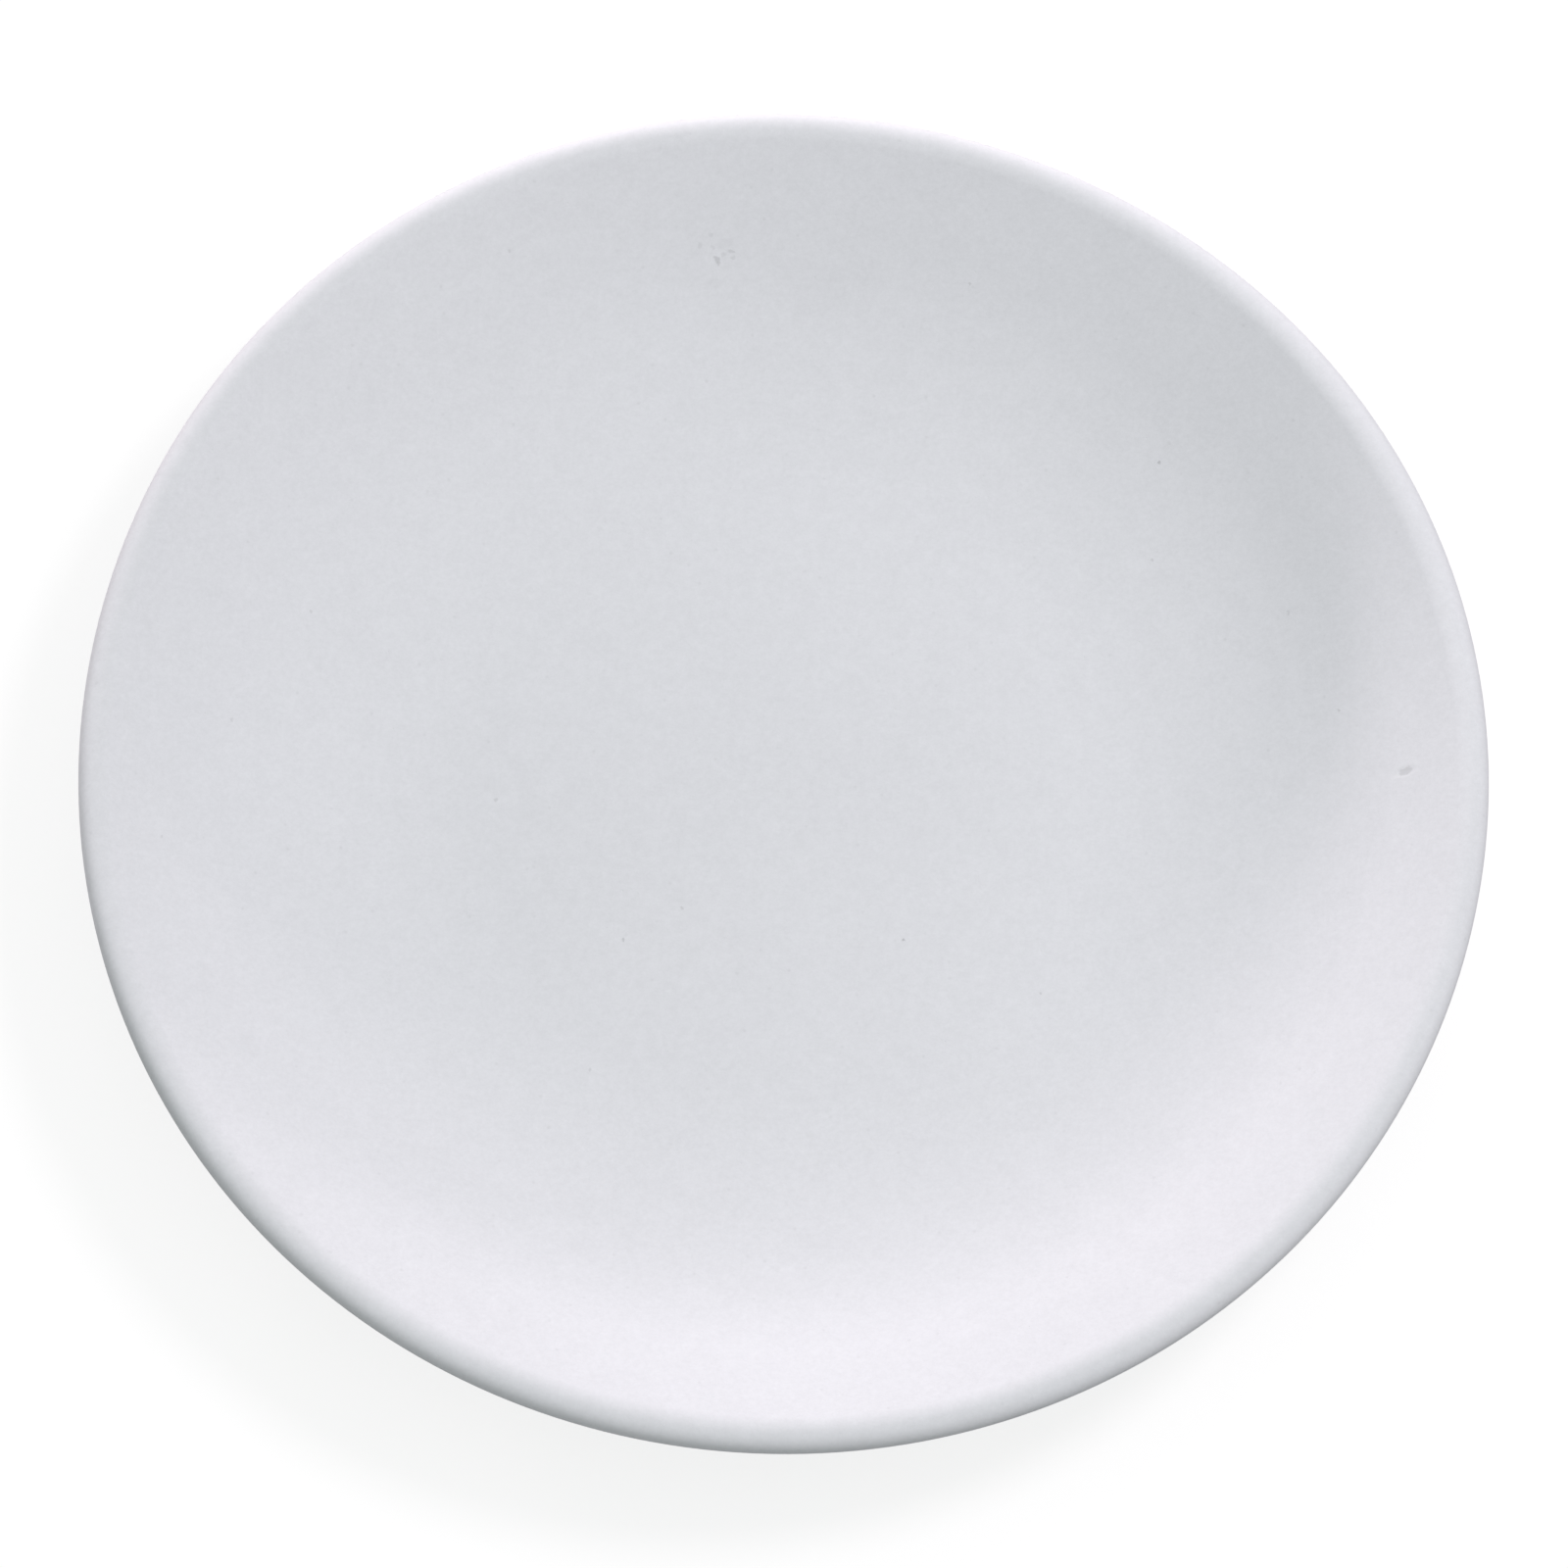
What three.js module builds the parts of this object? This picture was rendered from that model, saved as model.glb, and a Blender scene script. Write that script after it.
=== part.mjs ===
// A bisque coupe plate: one piece of white clay, fired once and left unglazed.
// It has a flat well, a wall that rises out of it in one long curve, a fully rounded lip, and a low foot
// ring underneath that is cast in one with the dish.
// Millimetres, +Z up, origin at the middle of the plane that the foot ring stands on.

import * as THREE from "three";

// Driving dimensions of the dish
const RIM_DIAMETER = 260; // across the outside of the lip
const WELL_DIAMETER = 116; // the flat floor that food lies on
const WALL_THICKNESS = 6.5; // clay wall, the same from the floor to the lip
const WALL_SLOPE = THREE.MathUtils.degToRad(27); // of the straight band under the lip, above level
const RIM_BAND = 17; // width of that band, seen from above
const LIP_ROLL = 6; // radius of the broad round on the lip's upper side, where a sponge wiped it
const LIP_ROLL_TURN = THREE.MathUtils.degToRad(36); // how far the lip turns over on that round

// Driving dimensions of the foot ring
const FOOT_DIAMETER = 156; // across the outside of the ring
const FOOT_WIDTH = 7; // from the ring's inner side to its outer side
const FOOT_HEIGHT = 3; // from the standing plane up to the recessed underside
const FOOT_ROUND = 1; // rounded edges of the ring's standing face
const FOOT_FILLET = 1.6; // hollow corners where the ring meets the underside

// Facets
const AROUND = 80; // round the plate's axis
const COVE_STEPS = 10; // along each long curve of the wall
const LIP_ROLL_STEPS = 4; // on the lip's broad round
const LIP_EDGE_STEPS = 9; // on the tight round that takes the lip over to the wall's lower face
const CORNER_STEPS = 3; // on each small round of the foot ring

// Sizes that follow from those above
const FLOOR_Z = FOOT_HEIGHT + WALL_THICKNESS;
const WELL_RADIUS = WELL_DIAMETER / 2;
const LIP_ROLL_DROP = LIP_ROLL * (1 - Math.cos(LIP_ROLL_TURN)); // share of the wall that it takes up
const LIP_EDGE = (WALL_THICKNESS - LIP_ROLL_DROP) / (1 + Math.cos(LIP_ROLL_TURN));
const LIP_EDGE_CENTRE_RADIUS = RIM_DIAMETER / 2 - LIP_EDGE;
const LIP_CENTRES_APART = LIP_ROLL - LIP_EDGE;
const LIP_ROLL_CENTRE_RADIUS =
  LIP_EDGE_CENTRE_RADIUS - LIP_CENTRES_APART * Math.sin(LIP_ROLL_TURN - WALL_SLOPE);
const BAND_TOP_RADIUS = LIP_ROLL_CENTRE_RADIUS - LIP_ROLL * Math.sin(WALL_SLOPE);
const BAND_FOOT_RADIUS = BAND_TOP_RADIUS - RIM_BAND;
const COVE_RADIUS = (BAND_FOOT_RADIUS - WELL_RADIUS) / Math.sin(WALL_SLOPE);
const COVE_CENTRE_Z = FLOOR_Z + COVE_RADIUS;
const FOOT_OUTER_RADIUS = FOOT_DIAMETER / 2;
const FOOT_INNER_RADIUS = FOOT_OUTER_RADIUS - FOOT_WIDTH;
const FOOT_CORNER = Math.min(FOOT_FILLET, FOOT_HEIGHT - FOOT_ROUND);

// The face that lies a given depth under the dish's upper face, at one radius: its height and its tilt.
// The three stretches of the wall join smoothly, so one formula serves them. The tilt is 0 over the well,
// grows along the curve, and stays at the wall's slope on the band.
function faceAt(radius, depth) {
  const reach = COVE_RADIUS + depth;
  const sine = THREE.MathUtils.clamp((radius - WELL_RADIUS) / reach, 0, Math.sin(WALL_SLOPE));
  const tilt = Math.asin(sine);
  const pastCurve = Math.max(0, radius - WELL_RADIUS - reach * sine);
  return { z: COVE_CENTRE_Z - reach * Math.cos(tilt) + pastCurve * Math.tan(tilt), tilt };
}

// Points on a circular arc, with angles counted from straight down towards the rim.
function arc(centre, radius, fromAngle, toAngle, steps) {
  return Array.from({ length: steps + 1 }, (_, i) => {
    const angle = THREE.MathUtils.lerp(fromAngle, toAngle, i / steps);
    return new THREE.Vector2(
      centre.x + radius * Math.sin(angle),
      centre.y - radius * Math.cos(angle),
    );
  });
}

// The upper face, from the axis across the well and up the curve to the lip.
function upperFace() {
  const coveCentre = new THREE.Vector2(WELL_RADIUS, COVE_CENTRE_Z);
  return [
    new THREE.Vector2(0, FLOOR_Z),
    ...arc(coveCentre, COVE_RADIUS, 0, WALL_SLOPE, COVE_STEPS),
  ];
}

// The lip, from the wall's upper face over to its lower face. It turns over on a broad arc first and then
// on a tight one, and the two meet without a kink.
function lip() {
  const bandTop = faceAt(BAND_TOP_RADIUS, 0);
  const onUpperFace = Math.PI + WALL_SLOPE;
  const handOver = onUpperFace - LIP_ROLL_TURN;
  const rollCentre = new THREE.Vector2(
    LIP_ROLL_CENTRE_RADIUS,
    bandTop.z - LIP_ROLL * Math.cos(WALL_SLOPE),
  );
  const edgeCentre = new THREE.Vector2(
    LIP_EDGE_CENTRE_RADIUS,
    rollCentre.y - LIP_CENTRES_APART * Math.cos(handOver),
  );
  return [
    ...arc(rollCentre, LIP_ROLL, onUpperFace, handOver, LIP_ROLL_STEPS),
    ...arc(edgeCentre, LIP_EDGE, handOver, WALL_SLOPE, LIP_EDGE_STEPS),
  ];
}

// A hollow corner between the underside and one side of the foot ring. Its points run from the underside
// to the ring, and side is +1 for the ring's outer side and -1 for its inner one.
function footCorner(ringRadius, side) {
  const centreRadius = ringRadius + side * FOOT_CORNER;
  const face = faceAt(centreRadius, WALL_THICKNESS + FOOT_CORNER);
  const centre = new THREE.Vector2(centreRadius, face.z);
  const onUnderside = Math.PI + face.tilt;
  const onRing = Math.PI + (side * Math.PI) / 2;
  return { tilt: face.tilt, points: arc(centre, FOOT_CORNER, onUnderside, onRing, CORNER_STEPS) };
}

// One rounded edge of the foot ring's standing face.
function footEdge(centreRadius, fromAngle, toAngle) {
  const centre = new THREE.Vector2(centreRadius, FOOT_ROUND);
  return arc(centre, FOOT_ROUND, fromAngle, toAngle, CORNER_STEPS);
}

// The lower face, from the lip down to the foot ring, round the ring, and across the recess to the axis.
function lowerFace() {
  const coveCentre = new THREE.Vector2(WELL_RADIUS, COVE_CENTRE_Z);
  const coveReach = COVE_RADIUS + WALL_THICKNESS;
  const outer = footCorner(FOOT_OUTER_RADIUS, 1);
  const inner = footCorner(FOOT_INNER_RADIUS, -1);
  return [
    ...arc(coveCentre, coveReach, WALL_SLOPE, outer.tilt, COVE_STEPS),
    ...outer.points,
    ...footEdge(FOOT_OUTER_RADIUS - FOOT_ROUND, Math.PI / 2, 0),
    ...footEdge(FOOT_INNER_RADIUS + FOOT_ROUND, 0, -Math.PI / 2),
    ...inner.points.reverse(),
    ...arc(coveCentre, coveReach, inner.tilt, 0, 1),
    new THREE.Vector2(0, FOOT_HEIGHT),
  ];
}

// The whole section, without the points that fall on each other where two stretches join.
function section() {
  const points = [...upperFace(), ...lip(), ...lowerFace()];
  const coincident = 1e-3;
  return points.filter((p, i) => i === 0 || p.distanceTo(points[i - 1]) > coincident);
}

const bisque = new THREE.MeshStandardMaterial({ color: 0xdcdee2, roughness: 0.95, metalness: 0 });

// The plate turns about +Z, and LatheGeometry turns a section about +Y from its foot to its top.
const plateGeometry = new THREE.LatheGeometry(section().reverse(), AROUND);
plateGeometry.rotateX(Math.PI / 2);
const plate = new THREE.Mesh(plateGeometry, bisque);
plate.name = "plate";

const bisquePlate = new THREE.Group();
bisquePlate.name = "bisque_plate";
bisquePlate.add(plate);

export default bisquePlate;
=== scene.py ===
# %% [markdown]
# # A bisque plate
#
# The real plate is one piece of white clay. It was cast in a plaster mould together with its foot ring,
# sponged smooth before it was quite dry, and fired once. Nobody glazed it, so its face is matt and a little
# chalky.
#
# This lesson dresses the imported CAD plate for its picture. It works out the visible surface as one closed
# mesh, gives it a bisque finish, and puts a floor, soft lights and a camera round it. The CAD plate stays in
# the scene as a fixed frame: everything here is in metres, with +Z up and the origin in the middle of the
# standing plane.

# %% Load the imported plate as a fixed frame
import math

import bpy
import numpy as np
from mathutils import Matrix, Vector


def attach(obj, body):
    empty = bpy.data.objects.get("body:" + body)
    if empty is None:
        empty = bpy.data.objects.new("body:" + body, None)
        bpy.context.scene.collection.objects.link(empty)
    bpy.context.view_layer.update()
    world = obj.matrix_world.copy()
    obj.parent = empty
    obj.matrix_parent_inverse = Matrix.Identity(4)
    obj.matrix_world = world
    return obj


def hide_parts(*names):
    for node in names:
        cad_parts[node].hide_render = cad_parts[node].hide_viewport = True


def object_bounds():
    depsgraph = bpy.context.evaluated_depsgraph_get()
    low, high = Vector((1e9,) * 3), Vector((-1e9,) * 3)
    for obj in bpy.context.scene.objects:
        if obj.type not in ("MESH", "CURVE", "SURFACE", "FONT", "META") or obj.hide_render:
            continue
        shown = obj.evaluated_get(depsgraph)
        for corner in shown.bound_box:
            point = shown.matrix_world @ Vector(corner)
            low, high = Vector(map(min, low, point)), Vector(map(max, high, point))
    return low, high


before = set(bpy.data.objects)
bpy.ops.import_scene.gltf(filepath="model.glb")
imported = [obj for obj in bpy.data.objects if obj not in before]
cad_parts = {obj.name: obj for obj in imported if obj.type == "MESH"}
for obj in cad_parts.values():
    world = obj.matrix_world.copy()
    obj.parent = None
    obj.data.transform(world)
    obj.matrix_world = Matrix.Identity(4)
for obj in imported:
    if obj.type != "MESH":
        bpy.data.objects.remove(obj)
cad_low, cad_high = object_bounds()

MM = 0.001  # one millimetre, in the frame's metres
scene = bpy.context.scene
print("CAD box in mm", [round(x / MM, 2) for x in (*cad_low, *cad_high)])

# %% [markdown]
# ## The camera
#
# A round rim that is seen from above and in front shows as an ellipse, and the ellipse gives the camera
# away. How flat it is tells how high the camera stands, and how far it leans is the camera's roll. The far
# half of the rim is hardly smaller than the near half, so the camera stands well back with a long lens. One
# could turn the view until it looks right. Here the lens follows from how wide the rim is in the picture.

# %% Place the camera
PICTURE_PIXELS = 1600  # the picture is square
RIM_PIXELS = 1441  # the long axis of the rim's ellipse
CAMERA_ELEVATION = math.radians(71.6)
CAMERA_ROLL = math.radians(3.12)  # the right end of the rim hangs lower
CAMERA_DISTANCE = 1.4
LIP_BULGE_DROP = 3 * MM  # from the top of the plate down to where the lip is widest
AIM_RIGHT = 0.26 * MM  # from the plate's axis to what lies in the middle of the picture
AIM_FRONT = 3.75 * MM  # the same, towards the camera

lip_bulge_z = cad_high.z - LIP_BULGE_DROP
camera_aim = Vector((AIM_RIGHT, -AIM_FRONT, lip_bulge_z))
rim_diameter = cad_high.x - cad_low.x
camera_data = bpy.data.cameras.new("camera")
picture_width = rim_diameter * PICTURE_PIXELS / RIM_PIXELS
camera_data.lens = camera_data.sensor_width * CAMERA_DISTANCE / picture_width
camera = bpy.data.objects.new("camera", camera_data)
scene.collection.objects.link(camera)
scene.camera = camera

to_camera = Vector((0, -math.cos(CAMERA_ELEVATION), math.sin(CAMERA_ELEVATION)))
camera_turn = (-to_camera).to_track_quat("-Z", "Y").to_matrix().to_4x4()
camera_place = Matrix.Translation(camera_aim + CAMERA_DISTANCE * to_camera)
camera.matrix_world = camera_place @ camera_turn @ Matrix.Rotation(CAMERA_ROLL, 4, "Z")
scene.view_settings.view_transform = "Standard"
print("camera at", [round(x, 3) for x in camera.matrix_world.translation])
print("lens of", round(camera_data.lens, 1), "mm")

# %% [markdown]
# ## The section
#
# Cut a plate through its middle, and half of the cut is its section: a flat well, a long curve up to a
# straight band, a rounded lip, and the way back underneath, round the foot ring to the middle. A lathe tool
# or a subdivided cage could carry such a section round. Here it is a chain of lines and arcs worked out from
# the sizes that a mould maker would give, because then each curve runs into the next without a kink and lies
# on the CAD plate.

# %% Sizes of the section
RIM_RADIUS = rim_diameter / 2
WELL_RADIUS = 58 * MM  # the flat floor
WALL_THICKNESS = 6.5 * MM
WALL_SLOPE = math.radians(27)  # of the band under the lip
RIM_BAND = 17 * MM  # width of that band, seen from above
LIP_ROLL = 6 * MM  # the broad round on the lip's upper side, where a sponge wiped it
LIP_ROLL_TURN = math.radians(36)  # how far the lip turns over on that round
FOOT_OUTER_RADIUS = 78 * MM
FOOT_WIDTH = 7 * MM
FOOT_HEIGHT = 3 * MM
FOOT_ROUND = 1 * MM  # edges of the standing face
FOOT_FILLET = 1.6 * MM  # hollow corners beside the ring

floor_z = FOOT_HEIGHT + WALL_THICKNESS
# The tight round at the lip's edge takes up what the broad one leaves of the wall's thickness.
lip_edge = (WALL_THICKNESS - LIP_ROLL * (1 - math.cos(LIP_ROLL_TURN))) / (1 + math.cos(LIP_ROLL_TURN))
lip_hand_over = math.pi + WALL_SLOPE - LIP_ROLL_TURN  # where the broad round meets the tight one
roll_to_edge = (LIP_ROLL - lip_edge) * np.array([math.sin(lip_hand_over), -math.cos(lip_hand_over)])
band_top_radius = RIM_RADIUS - lip_edge - roll_to_edge[0] - LIP_ROLL * math.sin(WALL_SLOPE)
band_foot_radius = band_top_radius - RIM_BAND
cove_radius = (band_foot_radius - WELL_RADIUS) / math.sin(WALL_SLOPE)
cove_centre = (WELL_RADIUS, floor_z + cove_radius)
foot_inner_radius = FOOT_OUTER_RADIUS - FOOT_WIDTH
print("rounds in mm: wall %.1f, lip %.1f and %.2f" % (cove_radius / MM, LIP_ROLL / MM, lip_edge / MM))


# %% Height and tilt of the wall
def face_at(radius, depth=0.0):
    """Height and tilt of the face that lies depth below the dish's upper face, at a radius.

    The sine of the tilt is 0 over the well, grows along the curve as the radius past the well over the
    curve's own radius plus depth, and stays at the sine of the wall's slope on the band.
    """
    reach = cove_radius + depth
    sine = np.clip((radius - WELL_RADIUS) / reach, 0, math.sin(WALL_SLOPE))
    tilt = np.arcsin(sine)
    past_curve = np.maximum(0, radius - WELL_RADIUS - reach * sine)
    return cove_centre[1] - reach * np.cos(tilt) + past_curve * np.tan(tilt), tilt


band_foot = np.array([band_foot_radius, float(face_at(band_foot_radius)[0])])
band_top = np.array([band_top_radius, float(face_at(band_top_radius)[0])])
lip_roll_centre = band_top + LIP_ROLL * np.array([math.sin(WALL_SLOPE), -math.cos(WALL_SLOPE)])
lip_edge_centre = lip_roll_centre + roll_to_edge
print("dish %.2f mm deep" % ((lip_roll_centre[1] + LIP_ROLL - floor_z) / MM))

# %% Lines and arcs of the section
FACE_STEP = 1.0 * MM  # between rows of the mesh on the broad faces
ROUND_STEP = 0.36 * MM  # between rows on the lip and the foot ring's rounds
BAND_STEP = 0.5 * MM  # between rows on the band under the lip, where the flake came off
STEP_DIGITS = 6  # a count of steps is rounded to these, or a stray last digit would add one


def line(start, end, step=FACE_STEP):
    """A straight stretch: start plus t times the way to end, with t running evenly from 0 to 1."""
    start = np.array(start)
    way = np.array(end) - start
    steps = math.ceil(round(np.linalg.norm(way) / step, STEP_DIGITS))
    return start + np.linspace(0, 1, steps + 1)[:, None] * way


def arc(centre, radius, start, end, step=ROUND_STEP):
    """A round stretch: centre plus radius times (sin a, -cos a), with the angle a from start to end.

    The angle is 0 straight below the centre and grows towards the rim.
    """
    rows = math.ceil(radius * abs(end - start) / step) + 1
    a = np.linspace(start, end, rows)[:, None]
    return np.array(centre) + radius * np.hstack([np.sin(a), -np.cos(a)])


def foot_fillet(ring_radius, side):
    """A hollow corner from the underside to the foot ring, and the underside's tilt where it starts.

    The side is +1 outside the ring and -1 inside it.
    """
    centre_radius = ring_radius + side * FOOT_FILLET
    z, tilt = face_at(centre_radius, WALL_THICKNESS + FOOT_FILLET)
    corner = arc((centre_radius, z), FOOT_FILLET, math.pi + tilt, math.pi + side * math.pi / 2)
    return corner, float(tilt)


def chained(stretches):
    """All stretches as one run of points, with a straight line across each gap between two of them."""
    run = [stretches[0]]
    for stretch in stretches[1:]:
        bridge = line(run[-1][-1], stretch[0])
        run.append(np.vstack([bridge[1:], stretch[1:]]))
    return np.vstack(run)


# %% The whole section, from the middle of the well to the middle of the underside
cove_outside = cove_radius + WALL_THICKNESS
outer_fillet, outer_tilt = foot_fillet(FOOT_OUTER_RADIUS, +1)
inner_fillet, inner_tilt = foot_fillet(foot_inner_radius, -1)
section = chained([
    line((0, floor_z), (WELL_RADIUS, floor_z)),
    arc(cove_centre, cove_radius, 0, WALL_SLOPE, FACE_STEP),
    line(band_foot, band_top, BAND_STEP),
    arc(lip_roll_centre, LIP_ROLL, math.pi + WALL_SLOPE, lip_hand_over),
    arc(lip_edge_centre, lip_edge, lip_hand_over, WALL_SLOPE),
    arc(cove_centre, cove_outside, WALL_SLOPE, outer_tilt, FACE_STEP),
    outer_fillet,
    arc((FOOT_OUTER_RADIUS - FOOT_ROUND, FOOT_ROUND), FOOT_ROUND, math.pi / 2, 0),
    arc((foot_inner_radius + FOOT_ROUND, FOOT_ROUND), FOOT_ROUND, 0, -math.pi / 2),
    inner_fillet[::-1],
    arc(cove_centre, cove_outside, inner_tilt, 0, FACE_STEP),
    line((WELL_RADIUS, FOOT_HEIGHT), (0, FOOT_HEIGHT)),
])
gaps = np.linalg.norm(np.diff(section, axis=0), axis=1)
print("section of %d points, %.3f to %.3f mm apart" % (len(section), gaps.min() / MM, gaps.max() / MM))

# %% [markdown]
# ## The plate
#
# Turning the section round the axis gives the plate's surface as a function of two parameters: how far along
# the section, and how far round. But wet clay gives a little. The rim sank into a shape that isn't quite a
# circle while it dried, and the sponge left shallow rings that only a low light finds. Later a knock took a
# flake off the wall on the right. A sculptor would push these in by hand. Here they are small waves and one
# small hollow that are added to the turned surface, far too small to change the plate's size.

# %% Waves in the clay
# Each set of lobes: how many round the rim, how high, and the bearing of one crest.
RIM_LOBES = [
    (3, 0.21 * MM, math.radians(10.6)),
    (4, 0.16 * MM, math.radians(34.2)),
]
# Each set of rings: how far apart, how high, how often one wanders in and out on the way round, and by how
# many radians of its wave.
SPONGE_RINGS = [
    (8.5 * MM, 0.012 * MM, 2, 0.9),
    (5.3 * MM, 0.007 * MM, 3, 1.4),
]


def rim_wave(angles):
    """How far the rim bulges: height times cos(lobes times the angle past a crest), summed."""
    return sum(height * np.cos(lobes * (angles - crest)) for lobes, height, crest in RIM_LOBES)


def sponge_wave(radius, angles):
    """How far the sponge left the face proud: rings round the axis that wander in and out, summed.

    Each is height times sin(2 pi radius over apart, plus wander times sin(times the angle)).
    """
    waves = 0
    for apart, height, times, wander in SPONGE_RINGS:
        waves = waves + height * np.sin(2 * math.pi * radius / apart + wander * np.sin(times * angles))
    return waves


every_degree = np.radians(np.arange(360))
print("rim out of round by at most %.2f mm" % (np.abs(rim_wave(every_degree)).max() / MM))

# %% The hollow that a flake left
# Its place seen from above, its half length and half width in mm, and its turn in degrees.
CHIP = ((114.7, 6.05), 2.4, 1.0, 14)
CHIP_DEPTH = 0.09 * MM


def chip_hollow(x, y):
    """How deep the hollow is at a place seen from above: depth times (1 - d squared), and 0 past d = 1.

    d is the distance from the chip's middle, measured in its own half length and half width.
    """
    (middle_x, middle_y), half_length, half_width, turn_degrees = CHIP
    turn = math.radians(turn_degrees)
    right, back = x / MM - middle_x, y / MM - middle_y
    along = (right * math.cos(turn) + back * math.sin(turn)) / half_length
    across = (back * math.cos(turn) - right * math.sin(turn)) / half_width
    return CHIP_DEPTH * np.clip(1 - along**2 - across**2, 0, 1)


print("chip %.1f by %.1f mm, %.2f mm deep" % (2 * CHIP[1], 2 * CHIP[2], CHIP_DEPTH / MM))

# %% Turn the section round the axis
AROUND = 270  # even points on each ring of the mesh
CHIP_COLUMNS = 13  # close points where a ring passes the chip
CHIP_REACH = 1.3  # how far to each side of its middle they lie, in its half widths


def ring_angles():
    """Angles of the points on a ring: even all round, and closer together across the chip."""
    (chip_x, chip_y), _, half_width, _ = CHIP
    bearing = math.atan2(chip_y, chip_x)
    reach = CHIP_REACH * half_width / math.hypot(chip_x, chip_y)
    even = np.linspace(0, 2 * math.pi, AROUND, endpoint=False)
    close = bearing + reach * np.linspace(-1, 1, CHIP_COLUMNS)
    return np.sort(np.concatenate([even[np.abs(even - bearing) > reach], close]))


def turned(section, angles):
    """Rings of points (r cos angle, r sin angle, z), for the section's points and each angle.

    r and z are the section's own, moved square to the upper face by the sponge's wave, which fades out
    towards the lip, and by the chip's hollow. r grows by the rim's wave, which fades in with the square of
    the way from foot to rim.
    """
    along = np.gradient(section, axis=0)
    along /= np.linalg.norm(along, axis=1, keepdims=True)
    radius = section[:, :1]
    facing_up = np.clip(along[:, :1], 0, 1)
    below_lip = np.clip((band_top_radius - radius) / RIM_BAND, 0, 1)
    hollow = chip_hollow(radius * np.cos(angles), radius * np.sin(angles))
    proud = facing_up * (below_lip * sponge_wave(radius, angles) - hollow)
    towards_rim = np.clip((radius - FOOT_OUTER_RADIUS) / (RIM_RADIUS - FOOT_OUTER_RADIUS), 0, 1) ** 2
    r = radius - along[:, 1:] * proud + towards_rim * rim_wave(angles)
    z = section[:, 1:] + along[:, :1] * proud
    return np.stack([r * np.cos(angles), r * np.sin(angles), z], axis=-1)


def closed_mesh(name, rings, top_pole, bottom_pole):
    """A mesh of four-cornered faces between neighbouring rings, with a fan of triangles at each pole.

    Corners run outwards first and then round, so every face looks out of the clay.
    """
    rows, around, _ = rings.shape
    here = np.arange(rows * around).reshape(rows, around)
    beside = np.roll(here, -1, axis=1)
    quads = np.stack([here[:-1], here[1:], beside[1:], beside[:-1]], axis=-1).reshape(-1, 4)
    top = np.full(around, here.size)
    bottom = top + 1
    top_fan = np.stack([top, here[0], beside[0]], axis=-1)
    bottom_fan = np.stack([bottom, beside[-1], here[-1]], axis=-1)
    points = np.concatenate([rings.reshape(-1, 3), [top_pole, bottom_pole]])
    mesh = bpy.data.meshes.new(name)
    mesh.from_pydata(points, [], quads.tolist() + top_fan.tolist() + bottom_fan.tolist())
    mesh.shade_smooth()
    return mesh


# %% The plate's mesh
rings = turned(section[1:-1], ring_angles())
plate_mesh = closed_mesh("bisque_plate", rings, (0, 0, floor_z), (0, 0, FOOT_HEIGHT))
plate = bpy.data.objects.new("bisque_plate", plate_mesh)
scene.collection.objects.link(plate)
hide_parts("plate")
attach(plate, "root")
print("plate of", len(plate_mesh.vertices), "points and", len(plate_mesh.polygons), "faces")

# %% [markdown]
# ## Bisque
#
# Clay that was fired once is a soft stone full of fine pores. It scatters light every way, so it has no
# gloss, and its white has a breath of blue. A flat colour would look like plastic. A photograph of clay
# wrapped round the plate would stretch on the wall and show a seam. So the finish is made of noise that
# fills the space the plate lies in: clouds, mottling and grain for the colour, and a fine tooth for the
# surface, all in real sizes.

# %% Helpers for shader nodes
FINE_STEPS = 2  # of detail, in the noise of grain, strokes and ragged edges


def add_node(tree, kind, inputs, **settings):
    """One shader node: a socket that is given as an input is linked, and any other value is set."""
    node = tree.nodes.new("ShaderNode" + kind)
    for name, value in settings.items():
        setattr(node, name, value)
    for name, value in inputs.items():
        if isinstance(value, bpy.types.NodeSocket):
            tree.links.new(value, node.inputs[name])
        else:
            node.inputs[name].default_value = value
    return node


def worked_out(tree, operation, first, second=0.0):
    """The result of one sum on two numbers."""
    return add_node(tree, "Math", {0: first, 1: second}, operation=operation).outputs[0]


def vector_sum(tree, operation, *vectors):
    """The result of one sum on vectors."""
    return add_node(tree, "VectorMath", dict(enumerate(vectors)), operation=operation).outputs[0]


def length_of(tree, vector):
    """How long a vector is."""
    return add_node(tree, "VectorMath", {0: vector}, operation="LENGTH").outputs["Value"]


def soft_step(tree, value, start, end, low=0.0, high=1.0):
    """low at start, high at end, an S-shaped way between, and level beyond. Either may be the larger."""
    inputs = {"Value": value, "From Min": start, "From Max": end, "To Min": low, "To Max": high}
    return add_node(tree, "MapRange", inputs, interpolation_type="SMOOTHSTEP").outputs[0]


def noise(tree, place, apart, detail=0.0, roughness=0.5):
    """Noise whose lumps lie about that far apart.

    Each step of detail adds lumps half as wide, roughness times as strong as those before them.
    """
    inputs = {"Vector": place, "Scale": 1 / apart, "Detail": detail, "Roughness": roughness}
    return add_node(tree, "TexNoise", inputs)


def mixed(tree, share, first, second):
    """A colour that goes from the first to the second as share goes from 0 to 1."""
    inputs = {0: share, 6: first, 7: second}  # where a Mix node keeps its sockets for colours
    return add_node(tree, "Mix", inputs, data_type="RGBA").outputs[2]


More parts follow.
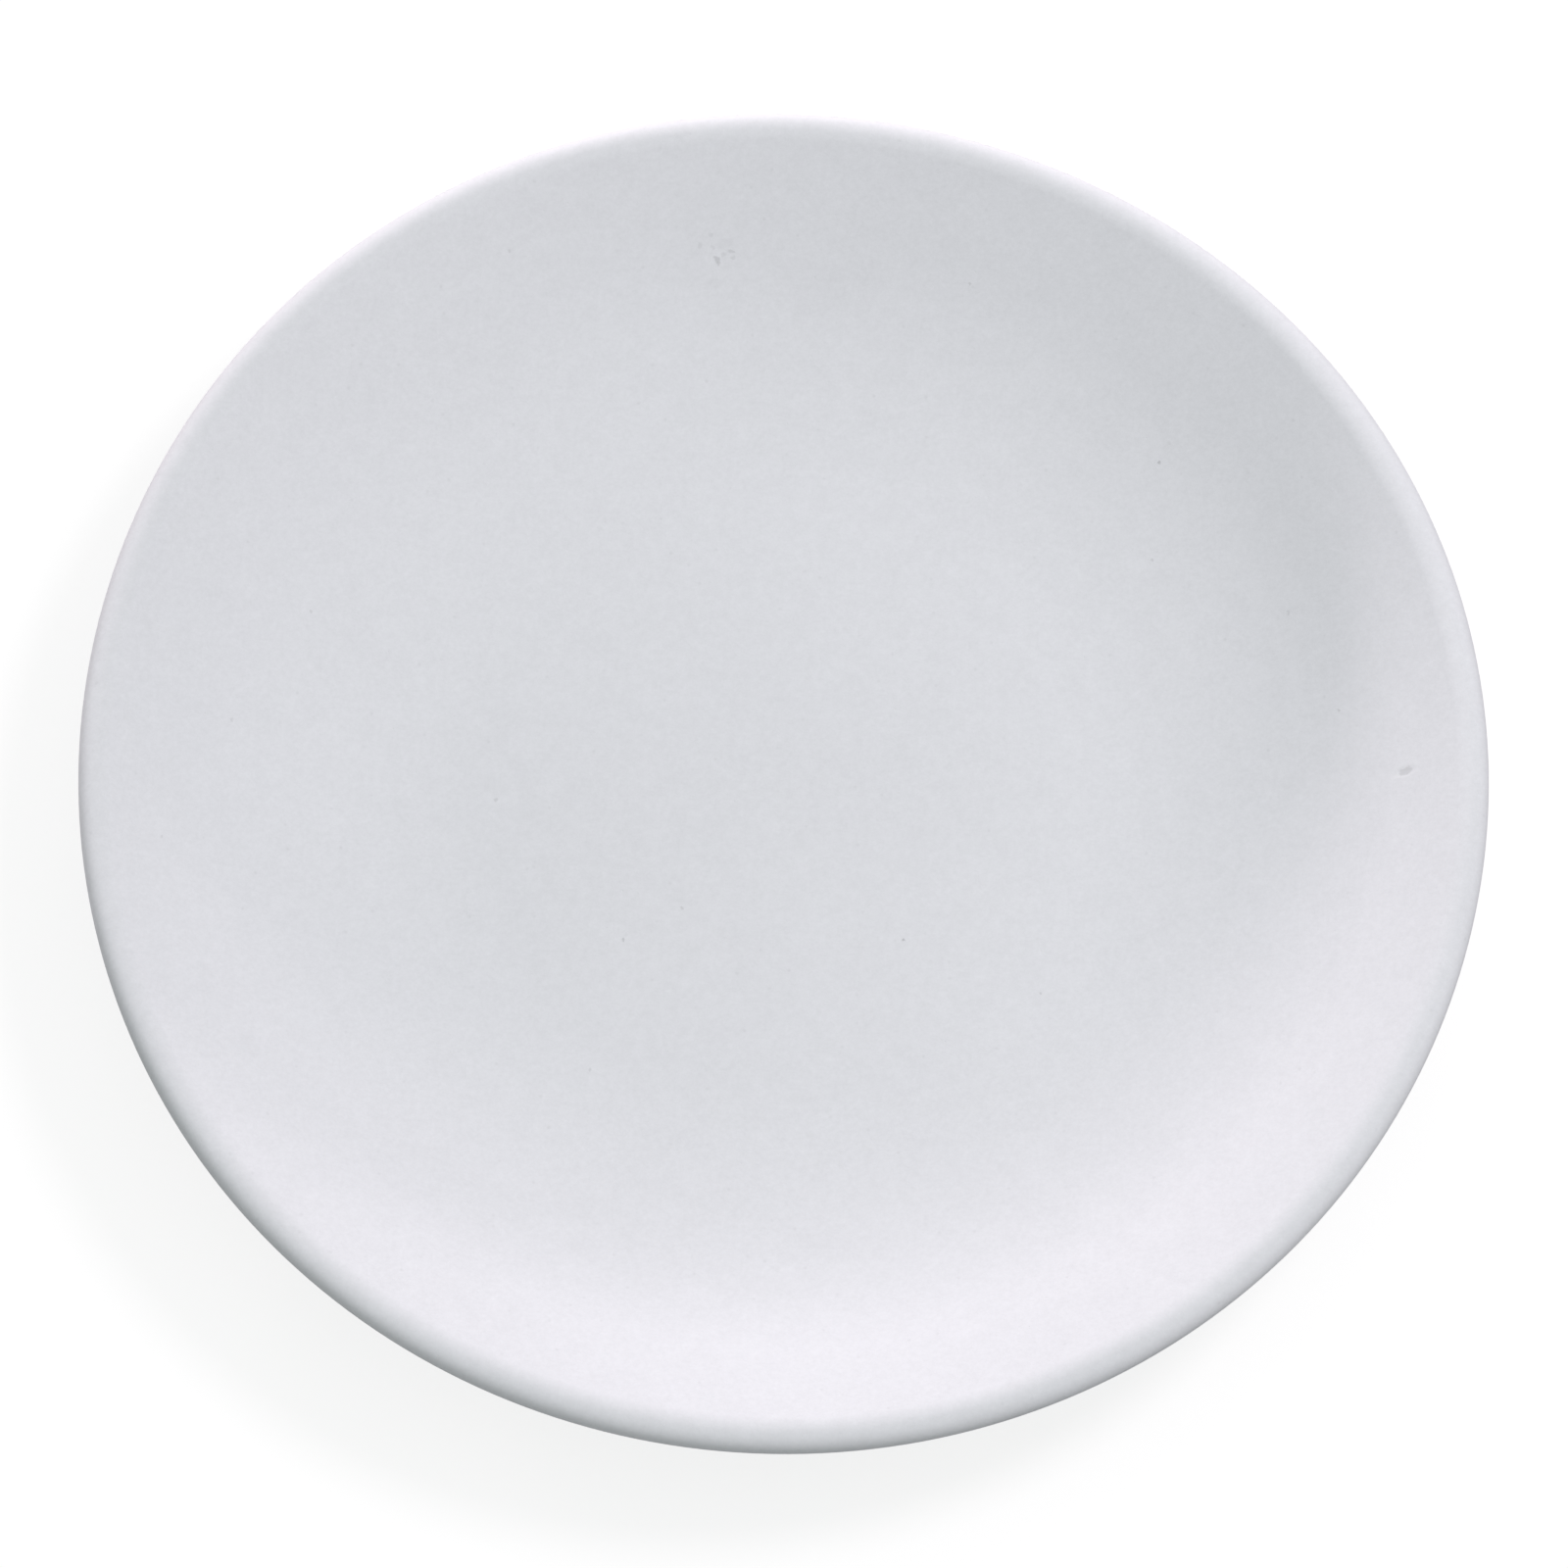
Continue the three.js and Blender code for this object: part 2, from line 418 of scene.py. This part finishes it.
# %% Colour of the clay
BISQUE = np.array([0.79, 0.80, 0.835])
TONE_SPREAD = 0.105  # how much paler and greyer the clay gets at most
TONE_ROUGHNESS = 0.85  # of the noise in each layer
TONES = [  # layers of the variation: how far apart, steps of detail, and share of the whole
    (34 * MM, 0, 0.10),  # clouds
    (5 * MM, 1, 0.24),  # mottling
    (1.0 * MM, 2, 0.66),  # sand
]
greyer = BISQUE * (1 - TONE_SPREAD)
paler = BISQUE * (1 + TONE_SPREAD)


def clay_colour(tree, place):
    """Two close tones of the clay, mixed by the sum of clouds, mottling and sand, each times its share."""
    share = 0.0
    for apart, detail, part in TONES:
        layer = noise(tree, place, apart, detail, TONE_ROUGHNESS).outputs["Fac"]
        share = worked_out(tree, "ADD", share, worked_out(tree, "MULTIPLY", layer, part))
    return mixed(tree, share, (*greyer, 1), (*paler, 1))


print("clay from", greyer.round(3), "to", paler.round(3))

# %% [markdown]
# ## Marks of making
#
# No piece of bisque leaves the kiln spotless. Iron in the clay burns to grey specks, a pencil or a dirty
# finger leaves a smudge, and the hollow where a flake came off is drawn greyer. They could be painted on a
# texture. Here each one that the eye finds is a small soft spot at its own place on the upper face, with a
# ragged edge, and still finer specks are scattered by cells of noise over the whole plate.

# %% Spots that the eye finds
# Each patch of the smudge: its place seen from above, its half length and half width in mm, its turn in
# degrees, and the share of light that it takes.
SMUDGE = [
    ((-17.9, 102.7), 1.1, 0.7, -60, 0.18),
    ((-17.5, 102.0), 0.7, 0.5, -70, 0.14),
    ((-16.7, 103.5), 1.2, 0.5, 35, 0.08),
    ((-15.2, 104.2), 1.1, 0.5, -15, 0.14),
    ((-14.8, 103.2), 0.7, 0.5, 10, 0.10),
    ((-21.2, 104.7), 0.7, 1.0, 0, 0.09),
    ((-18.7, 104.6), 0.8, 0.7, 0, 0.07),
    ((-19.2, 106.7), 0.6, 0.6, 0, 0.07),
    ((-16.3, 105.5), 2.4, 1.3, 10, 0.035),
    ((-17.9, 98.5), 2.0, 1.4, 0, 0.025),
]
SPECKS = [  # place seen from above in mm, and share of light that it takes
    ((67.6, 67.8), 0.25),
    ((24.0, -26.9), 0.27),
    ((-53.2, -3.9), 0.14),
    ((30.3, 100.4), 0.15),
    ((-102.8, 5.7), 0.09),
    ((-27.9, -29.8), 0.20),
    ((49.8, -35.7), 0.16),
    ((-113.3, -19.8), 0.11),
    ((92.7, 38.5), 0.12),
    ((67.2, 49.5), 0.13),
    ((-17.3, -23.0), 0.15),
    ((-57.0, 99.8), 0.11),
    ((-89.8, 29.1), 0.13),
    ((-32.5, -55.2), 0.12),
    ((102.5, 19.0), 0.16),
]
SPECK_RADIUS = 0.5 * MM
STAIN = ((4.5, 98.0), 12.0, 8.0, 0, 0.015)  # a cloud on the far wall, written like a patch of the smudge
CHIP_SHARE = 0.16  # of light taken from the colour in the chip's hollow, which is drawn greyer
SPOT_FIRM = 0.3  # how far out from its middle a spot is full, as a share of the way to its edge
CHIP_FIRM = 0.5  # the same for the greyer colour in the chip's hollow
RAGGED = 0.5 * MM  # how far a spot's edge strays
RAGGED_APART = 0.8 * MM  # between its bays


def spot(tree, place, at, half_length, half_width, turn_degrees, firm=SPOT_FIRM):
    """1 in the middle of a spot on the upper face and 0 outside it.

    The distance from the spot's middle is measured in its own half length and half width, and the spot
    falls off softly from the firm part of it to its edge.
    """
    x, y = np.array(at) * MM
    z = float(face_at(math.hypot(x, y))[0])
    inputs = {
        "Vector": place,
        "Location": (x, y, z),
        "Rotation": (0, 0, math.radians(turn_degrees)),
        "Scale": (half_length * MM, half_width * MM, half_width * MM),
    }
    own = add_node(tree, "Mapping", inputs, vector_type="TEXTURE").outputs[0]
    return soft_step(tree, length_of(tree, own), 1.0, firm)


def strayed(tree, place, how_far, apart):
    """The place, pushed about by noise: it makes the edge of a spot ragged.

    The noise runs from 0 to 1 each way, so the push is the noise less a half, times twice how_far.
    """
    push = noise(tree, place, apart, FINE_STEPS).outputs["Color"]
    centred = vector_sum(tree, "SUBTRACT", push, (0.5, 0.5, 0.5))
    return vector_sum(tree, "MULTIPLY_ADD", centred, (2 * how_far,) * 3, place)


print(len(SMUDGE), "patches of smudge and", len(SPECKS), "specks")

# %% Light that the spots take away
SCATTER_APART = 4.6 * MM  # between the scattered specks
SCATTER_RADIUS = 0.13  # of one of them, in cells
SCATTER_SHARE = 0.06  # of light that one takes


def scattered_specks(tree, place):
    """1 in fine specks: each cell of noise has one at a random spot, and most lie under the surface."""
    cells = add_node(tree, "TexVoronoi", {"Vector": place, "Scale": 1 / SCATTER_APART})
    return soft_step(tree, cells.outputs["Distance"], SCATTER_RADIUS, 0.0)


def marks(tree, place):
    """What share of the light the marks leave: the product of what each of them leaves by itself.

    That is 1 on clean clay and 1 less a mark's share in the middle of the mark.
    """
    ragged = strayed(tree, place, RAGGED, RAGGED_APART)
    left = soft_step(tree, scattered_specks(tree, place), 0.0, 1.0, 1.0, 1 - SCATTER_SHARE)
    speck_size = SPECK_RADIUS / MM
    round_specks = [(at, speck_size, speck_size, 0, share) for at, share in SPECKS]
    # The chip's hollow has its colour drawn darker, as a spot of its own.
    grey_chip = (*CHIP, CHIP_FIRM, CHIP_SHARE)
    for *shape, share in [*SMUDGE, *round_specks, STAIN, grey_chip]:
        kept = soft_step(tree, spot(tree, ragged, *shape), 0.0, 1.0, 1.0, 1 - share)
        left = worked_out(tree, "MULTIPLY", left, kept)
    return left


print("scattered specks up to %.1f mm across" % (2 * SCATTER_RADIUS * SCATTER_APART / MM))

# %% [markdown]
# ## The tooth of the clay
#
# Run a fingernail over bisque and it drags: the surface is sandy, with pinholes where bubbles burst, and
# with the faint strokes of the sponge. Real displacement that fine would need millions of faces. A bump on
# the shader bends the light as such a surface would, and it is still written as a height in real
# millimetres.

# %% Height of the fine surface
GRAIN_APART = 0.45 * MM
GRAIN_HEIGHT = 0.012 * MM
GRAIN_ROUGHNESS = 0.6  # of the noise that gives its height
STROKE_HEIGHT = 0.006 * MM
STROKE_APART = 2.2 * MM  # across the sponge's strokes
STROKES_ROUND = 9  # how fast strokes change on the way round
PINHOLES_APART = 5 * MM
PINHOLE_RADIUS = 0.04  # in cells
PINHOLE_DEPTH = 0.05 * MM


def round_the_plate(tree, place):
    """A place for noise that is stretched round the axis, with strokes one apart.

    It is (a cos angle, a sin angle, radius over the strokes' distance), where a is STROKES_ROUND.
    """
    flat = vector_sum(tree, "MULTIPLY", place, (1, 1, 0))
    radius = length_of(tree, flat)
    bearing = vector_sum(tree, "NORMALIZE", flat)
    across = worked_out(tree, "DIVIDE", radius, STROKE_APART)
    upright = add_node(tree, "CombineXYZ", {"Z": across}).outputs[0]
    return vector_sum(tree, "MULTIPLY_ADD", bearing, (STROKES_ROUND, STROKES_ROUND, 0), upright)


def tooth(tree, place):
    """Height of the fine surface in metres: grain plus strokes, less pinholes."""
    grain = noise(tree, place, GRAIN_APART, FINE_STEPS, GRAIN_ROUGHNESS).outputs["Fac"]
    strokes = noise(tree, round_the_plate(tree, place), 1.0, FINE_STEPS).outputs["Fac"]
    cells = add_node(tree, "TexVoronoi", {"Vector": place, "Scale": 1 / PINHOLES_APART})
    pinholes = soft_step(tree, cells.outputs["Distance"], PINHOLE_RADIUS, 0.0)
    height = 0.0
    for layer, full in [(grain, GRAIN_HEIGHT), (strokes, STROKE_HEIGHT), (pinholes, -PINHOLE_DEPTH)]:
        height = worked_out(tree, "ADD", height, worked_out(tree, "MULTIPLY", layer, full))
    return height


print("grain %.3f mm high, pinholes %.2f mm deep" % (GRAIN_HEIGHT / MM, PINHOLE_DEPTH / MM))

# %% [markdown]
# ## Putting the finish together
#
# The shader is rough, with little mirror in it, because pores break up the reflection. The foot ring's
# standing face is the one place that is treated otherwise on the real plate: it is rubbed flat on a stone
# before it is fired, and every shelf it stood on rubbed it since, so it is a little greyer. It is found by
# its height.

# %% Bisque
RUBBED_TOP = 0.25 * MM  # the rubbed face of the foot ring reaches this high
RUBBED_FULL = RUBBED_TOP / 4  # and is fully rubbed below this
RUBBED_SHARE = 0.10  # of light that it takes
SMOOTHEST, ROUGHEST = 0.86, 0.97
LOW_GRAIN, HIGH_GRAIN = 0.2, 0.8  # where the clay is smoothest and roughest
MIRROR = 0.25  # the shader's specular level, half of what a glaze would have


def bisque():
    """The clay's shader.

    Its colour is the clay's own times the light that marks and rubbing leave. It is rougher on the high
    grain, and its bump is the tooth.
    """
    material = bpy.data.materials.new("bisque")
    material.use_nodes = True
    tree = material.node_tree
    place = add_node(tree, "TexCoord", {}).outputs["Object"]
    grain = noise(tree, place, GRAIN_APART, FINE_STEPS).outputs["Fac"]
    height = add_node(tree, "SeparateXYZ", {0: place}).outputs["Z"]
    rubbed_light = soft_step(tree, height, RUBBED_TOP, RUBBED_FULL, 1.0, 1 - RUBBED_SHARE)
    light = worked_out(tree, "MULTIPLY", marks(tree, place), rubbed_light)
    colour = vector_sum(tree, "MULTIPLY", clay_colour(tree, place), light)
    rough = soft_step(tree, grain, LOW_GRAIN, HIGH_GRAIN, SMOOTHEST, ROUGHEST)
    bump = add_node(tree, "Bump", {"Height": tooth(tree, place), "Distance": 1.0, "Strength": 1.0})
    shader = tree.nodes["Principled BSDF"]
    shader.inputs["Specular IOR Level"].default_value = MIRROR
    tree.links.new(colour, shader.inputs["Base Color"])
    tree.links.new(rough, shader.inputs["Roughness"])
    tree.links.new(bump.outputs[0], shader.inputs["Normal"])
    return material


plate_mesh.materials.append(bisque())
print("bisque of", len(plate_mesh.materials[0].node_tree.nodes), "nodes")

# %% [markdown]
# ## The floor
#
# The plate stands on plain pale paper, which would come out grey beside a white plate. So the camera sees it
# with a glow of its own added, which brings it up to white, while the plate is lit only by the light that
# the paper gives back. The paper still darkens where the plate stands in its light, so the shadow stays.

# %% White paper
WHITE = (1, 1, 1, 1)
FLOOR_HALF_WIDTH = 4.0
PAPER = 0.5  # share of the light that it gives back to the plate
PAPER_GLOW = 0.80  # added for the camera
PAPER_SHADE = 0.26  # how much of the real light the camera sees on top of the glow


def seen_directly(tree):
    """1 for a ray that shows the surface to the eye, straight or in a mirror or glass, and else 0."""
    ray = add_node(tree, "LightPath", {})
    mirror = worked_out(tree, "MAXIMUM", ray.outputs["Is Camera Ray"], ray.outputs["Is Glossy Ray"])
    return worked_out(tree, "MAXIMUM", mirror, ray.outputs["Is Transmission Ray"])


def white_paper():
    """Paper that gives PAPER of the light back, and shows the eye its glow plus PAPER_SHADE of it."""
    material = bpy.data.materials.new("white_paper")
    material.use_nodes = True
    tree = material.node_tree
    tree.nodes.remove(tree.nodes["Principled BSDF"])
    plain = add_node(tree, "BsdfDiffuse", {"Color": (PAPER, PAPER, PAPER, 1)}).outputs[0]
    shade = add_node(tree, "BsdfDiffuse", {"Color": (PAPER_SHADE, PAPER_SHADE, PAPER_SHADE, 1)}).outputs[0]
    glow = add_node(tree, "Emission", {"Color": WHITE, "Strength": PAPER_GLOW}).outputs[0]
    lifted = add_node(tree, "AddShader", {0: shade, 1: glow}).outputs[0]
    surface = add_node(tree, "MixShader", {0: seen_directly(tree), 1: plain, 2: lifted}).outputs[0]
    tree.links.new(surface, tree.nodes["Material Output"].inputs["Surface"])
    return material


floor_mesh = bpy.data.meshes.new("floor")
floor_corners = FLOOR_HALF_WIDTH * np.array([(-1, -1, 0), (1, -1, 0), (1, 1, 0), (-1, 1, 0)])
floor_mesh.from_pydata(floor_corners, [], [(0, 1, 2, 3)])
floor_mesh.materials.append(white_paper())
floor = bpy.data.objects.new("floor", floor_mesh)
scene.collection.objects.link(floor)
print("paper", 2 * FLOOR_HALF_WIDTH, "metres each way")

# %% [markdown]
# ## The light
#
# The room gives most of the light: a white ceiling, brightest overhead and fading to nothing at the horizon,
# so that the lip stays pale on top and turns grey where it looks down. Three lamps shape the dish. Two low
# ones far behind the plate skim over the far rim and reach only the wall in front, which makes a bright
# crescent there. A broad one high on the right lights the well, and leaves the wall beneath it in shade. A
# lamp's level is how bright a white card looks that faces it.

# %% Room light and lamps
CEILING_LIGHT = (0.78, 0.82, 0.80)  # straight overhead
LAMPS = [  # name, bearing and elevation in degrees, width in metres, level in red, green and blue
    ("low_lamp", 104, 7, 0.10, (0.22, 0.19, 0.20)),
    ("left_low_lamp", 122, 4, 0.10, (0.40, 0.35, 0.37)),
    ("broad_lamp", 30, 55, 0.45, (0.41, 0.38, 0.40)),
]
LAMP_DISTANCE = 1.5
LAMP_AIM = Vector((0, 0, 20 * MM))


def room_light():
    """A white backdrop for the eye, and for the plate light that fades with the sine of its height."""
    world = bpy.data.worlds.new("room")
    world.use_nodes = True
    tree = world.node_tree
    tree.nodes.remove(tree.nodes["Background"])
    way = add_node(tree, "TexCoord", {}).outputs["Generated"]
    height = worked_out(tree, "MAXIMUM", add_node(tree, "SeparateXYZ", {0: way}).outputs["Z"], 0.0)
    ceiling = add_node(tree, "Background", {"Color": (*CEILING_LIGHT, 1), "Strength": height}).outputs[0]
    white = add_node(tree, "Background", {"Color": WHITE, "Strength": 1.0}).outputs[0]
    surface = add_node(tree, "MixShader", {0: seen_directly(tree), 1: ceiling, 2: white}).outputs[0]
    tree.links.new(surface, tree.nodes["World Output"].inputs["Surface"])
    return world


def add_lamp(name, bearing, elevation, width, level):
    """A round soft lamp that faces the plate from the bearing, counted from +X towards +Y.

    Its power is pi squared times the square of its distance times the level of its brightest colour.
    """
    turn, rise = math.radians(bearing), math.radians(elevation)
    way = Vector((math.cos(turn) * math.cos(rise), math.sin(turn) * math.cos(rise), math.sin(rise)))
    lamp_data = bpy.data.lights.new(name, "AREA")
    lamp_data.shape = "DISK"
    lamp_data.size = width
    lamp_data.energy = max(level) * math.pi**2 * LAMP_DISTANCE**2
    lamp_data.color = [part / max(level) for part in level]
    lamp = bpy.data.objects.new(name, lamp_data)
    facing = way.to_track_quat("Z", "Y").to_matrix().to_4x4()
    lamp.matrix_world = Matrix.Translation(LAMP_AIM + LAMP_DISTANCE * way) @ facing
    lamp.visible_camera = False
    scene.collection.objects.link(lamp)


scene.world = room_light()
for lamp in LAMPS:
    add_lamp(*lamp)
print("lamps", [lamp[0] for lamp in LAMPS])
